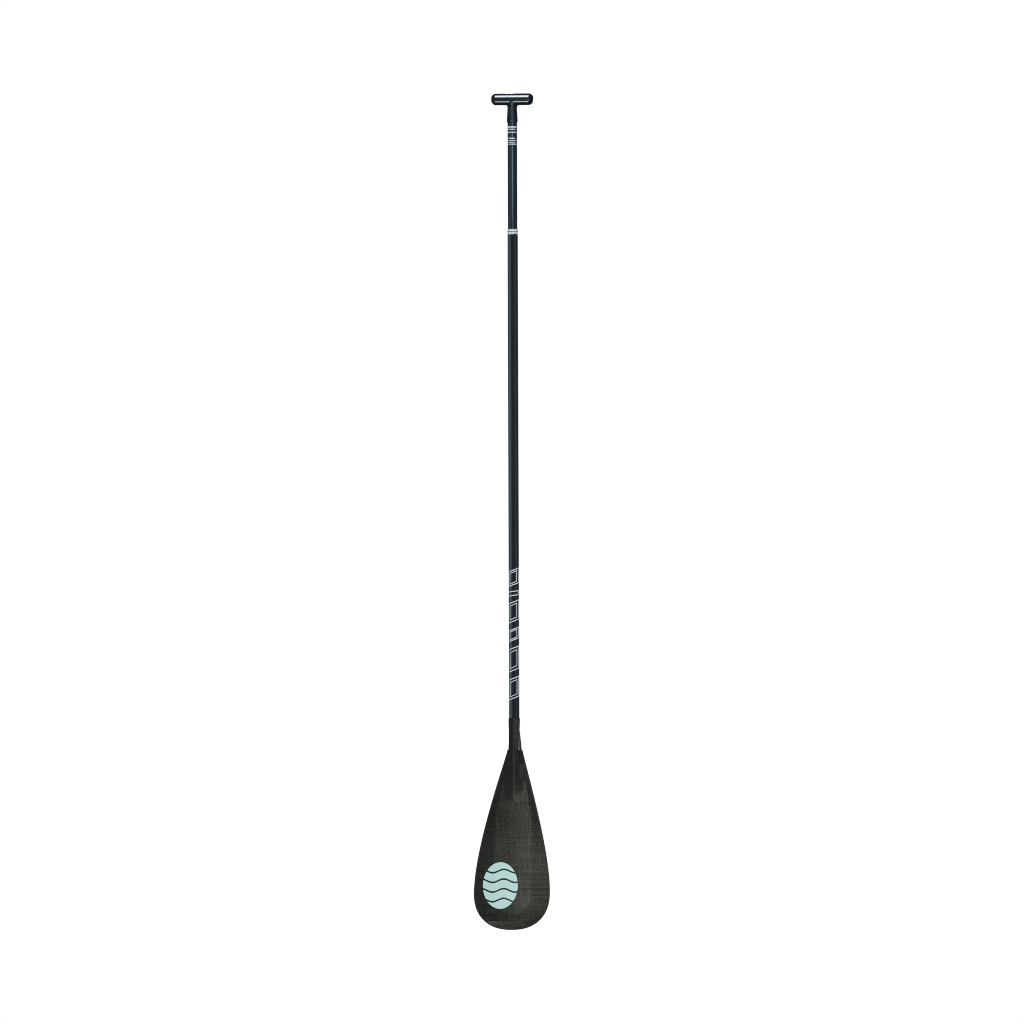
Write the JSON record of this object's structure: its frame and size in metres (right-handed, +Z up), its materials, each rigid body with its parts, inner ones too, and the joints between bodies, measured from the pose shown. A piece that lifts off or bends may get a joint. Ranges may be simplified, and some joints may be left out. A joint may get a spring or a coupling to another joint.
{
  "type": "adjustable stand-up paddle",
  "caption": "Adjustable single-blade stand-up paddle: teardrop carbon blade, telescoping tube shaft and a T-grip with a built-in lock lever.",
  "frame": {"origin": "on the shaft axis at the top edge of the blade's neck, where the shaft enters it", "axes": "+Z up the shaft to the grip, +X along the T-grip and across the blade towards the lever's end, +Y towards the power face"},
  "size_m": [0.2, 0.0885, 2.1842],
  "materials": {
    "carbon_tube": "clear-coated dark blue-grey carbon tube, satin gloss",
    "carbon_blade": "woven carbon laminate under a thin satin resin coat, olive-grey black",
    "edge_resin": "smooth dark edge rail, lightly scuffed",
    "foam": "closed-cell foam, fine pores",
    "band_print": "white wrap-round print with a thin grey line",
    "pale_print": null,
    "mint_print": null,
    "grip_plastic": "moulded black plastic, high gloss with fine scuffs",
    "acetal": "natural white acetal, smooth and slightly waxy",
    "bush_rubber": "dark elastomer, matt",
    "rod_alloy": "drawn aluminium rod, fine lengthwise marks",
    "steel": "stainless steel, lightly turned"
  },
  "bodies": {
    "shaft_and_blade": {"main_shaft": "carbon_tube", "shaft_plug": "foam", "mouth_band": "band_print", "shaft_decal": "pale_print", "neck_socket": "carbon_blade", "blade_core": "foam", "blade_back_skin": "carbon_blade", "blade_face_skin": "carbon_blade", "blade_edge_rail": "edge_resin", "blade_decal": "mint_print"},
    "guide": {"glide_ring": "acetal"},
    "extension": {"extension_tube": "carbon_tube", "extension_label": "pale_print", "grip_body": "grip_plastic", "cam_saddle": "acetal", "tube_end_plug": "acetal", "expander_bush": "bush_rubber"},
    "lock_rod": {"draw_rod": "rod_alloy", "lever_pin": "steel", "pressure_cone": "acetal", "rod_washer": "steel", "lock_nut": "steel"},
    "lever": {"lock_lever": "grip_plastic"}
  },
  "joints": [
    {"name": "length_slide", "type": "slide", "parent": "shaft_and_blade", "child": "guide", "axis": [0, 0, 1], "range_m": [-0.27, 0]},
    {"name": "handle_twist", "type": "hinge", "parent": "guide", "child": "extension", "pos_m": [0, 0, 1.042], "axis": [0, 0, 1], "continuous": true},
    {"name": "rod_draw", "type": "slide", "parent": "extension", "child": "lock_rod", "axis": [0, 0, 1], "range_m": [-0.0025, 0], "deforming": ["expander_bush"]},
    {"name": "lever_open", "type": "hinge", "parent": "lock_rod", "child": "lever", "pos_m": [0, 0, 1.62], "axis": [0, -1, 0], "range_deg": [0, 100]}
  ],
  "couplings": [
    {"joint": "rod_draw", "follows": "lever_open", "m_per_rad": -0.001432}
  ]
}
